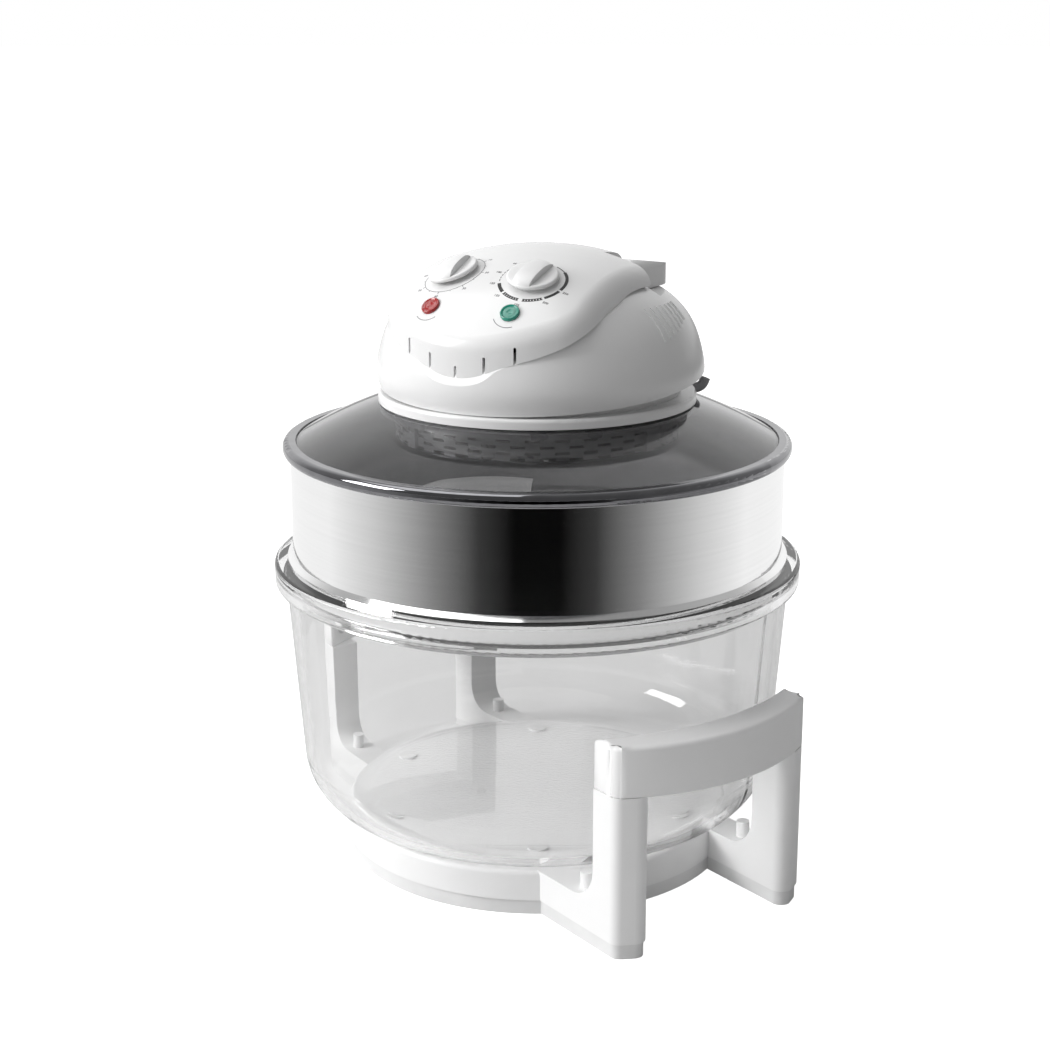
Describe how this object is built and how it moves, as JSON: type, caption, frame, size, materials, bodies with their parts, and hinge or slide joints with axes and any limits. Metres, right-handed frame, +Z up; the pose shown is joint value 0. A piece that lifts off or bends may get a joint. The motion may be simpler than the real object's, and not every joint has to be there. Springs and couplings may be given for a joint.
{
  "type": "countertop convection oven",
  "caption": "Halogen convection oven: glass bowl on a stand, steel extender ring, smoked glass lid with a control head and a fold-down safety handle.",
  "frame": {"origin": "on the floor under the middle of the round bowl", "axes": "+Z up through the bowl, the fan and the head; the control panel faces -Y and the cord gland is at +X +Y"},
  "size_m": [0.3798, 0.3346, 0.3927],
  "materials": {
    "white_shell": "smooth gloss white moulding",
    "foot_grey": "pale grey satin moulding",
    "clear_glass": "clear heat resistant glass",
    "smoke_glass": "smoke tinted heat resistant glass",
    "mirror_steel": "polished stainless sheet",
    "rim_steel": "polished rolled steel bead",
    "cage_steel": "perforated plated sheet",
    "seal_rubber": "soft grey silicone",
    "clear_silicone": "soft pale silicone",
    "gland_grey": "grey strain relief",
    "knob_white": "satin white moulding",
    "lens_red": "translucent red moulding",
    "lens_green": "translucent green moulding",
    "screw_steel": "zinc plated",
    "reflector_bright": "bright spun sheet",
    "lamp_glass": "clear quartz tube",
    "ceramic_white": "unglazed ceramic",
    "motor_iron": "laminated iron",
    "coil_copper": "enamelled copper winding",
    "bearing_bronze": "sintered bronze",
    "fan_aluminium": "pressed sheet",
    "unit_black": "dark moulding"
  },
  "bodies": {
    "base": {"base_ring": "white_shell", "right_grip": "white_shell", "left_grip": "white_shell", "grip_screws": "screw_steel", "foot_plate": "foot_grey", "foot_screws": "screw_steel", "bowl_pads": "clear_silicone"},
    "bowl": {"glass_bowl": "clear_glass"},
    "ring": {"extender_ring": "mirror_steel"},
    "lid": {"lid_glass": "smoke_glass", "lid_rim": "rim_steel", "cord_gland": "gland_grey", "collar": "white_shell", "collar_gasket": "seal_rubber", "clamp_ring": "cage_steel", "cage_wall": "cage_steel", "cage_plate": "cage_steel", "cage_ring": "rim_steel", "cage_posts": "cage_steel", "reflector": "reflector_bright", "halogen_lamp": "lamp_glass", "lamp_caps": "ceramic_white", "lamp_clips": "cage_steel", "motor_posts": "screw_steel", "motor_bracket": "cage_steel", "motor_stator": "motor_iron", "motor_coil": "coil_copper", "motor_bearings": "bearing_bronze", "housing_body": "white_shell", "top_cover": "white_shell", "cover_screws": "screw_steel", "red_lens": "lens_red", "green_lens": "lens_green", "timer_unit": "unit_black", "thermostat_unit": "unit_black", "handle_pins": "screw_steel", "safety_switch": "unit_black", "terminal_block": "ceramic_white", "thermal_cutout": "screw_steel"},
    "fan": {"motor_shaft": "screw_steel", "motor_rotor": "motor_iron", "hot_fan": "fan_aluminium", "cold_fan": "fan_aluminium", "fan_nut": "screw_steel"},
    "timer": {"timer_knob": "knob_white", "timer_shaft": "screw_steel"},
    "temperature": {"temperature_knob": "knob_white", "temperature_shaft": "screw_steel"},
    "handle": {"safety_handle": "white_shell"},
    "plunger": {"switch_plunger": "knob_white"}
  },
  "joints": [
    {"name": "bowl_lift", "type": "slide", "parent": "base", "child": "bowl", "axis": [0, 0, 1], "range_m": [0, 0.15]},
    {"name": "ring_lift", "type": "slide", "parent": "bowl", "child": "ring", "axis": [0, 0, 1], "range_m": [0, 0.04]},
    {"name": "lid_lift", "type": "slide", "parent": "ring", "child": "lid", "axis": [0, 0, 1], "range_m": [0, 0.12]},
    {"name": "fan_spin", "type": "hinge", "parent": "lid", "child": "fan", "pos_m": [0, 0, 0.31], "axis": [0, 0, 1], "continuous": true},
    {"name": "timer_turn", "type": "hinge", "parent": "lid", "child": "timer", "pos_m": [-0.0273, -0.0524, 0.376], "axis": [0.1463, 0.3545, -0.9235], "range_deg": [0, 300]},
    {"name": "temperature_turn", "type": "hinge", "parent": "lid", "child": "temperature", "pos_m": [0.0273, -0.0524, 0.376], "axis": [-0.1463, 0.3545, -0.9235], "range_deg": [0, 270]},
    {"name": "handle_fold", "type": "hinge", "parent": "lid", "child": "handle", "pos_m": [0, 0.028, 0.371], "axis": [1, 0, 0], "range_deg": [0, 90]},
    {"name": "plunger_slide", "type": "slide", "parent": "lid", "child": "plunger", "axis": [0, 0, 1], "range_m": [0, 0.003]}
  ],
  "couplings": [
    {"joint": "plunger_slide", "follows": "handle_fold", "m_per_rad": 0.0019099}
  ]
}
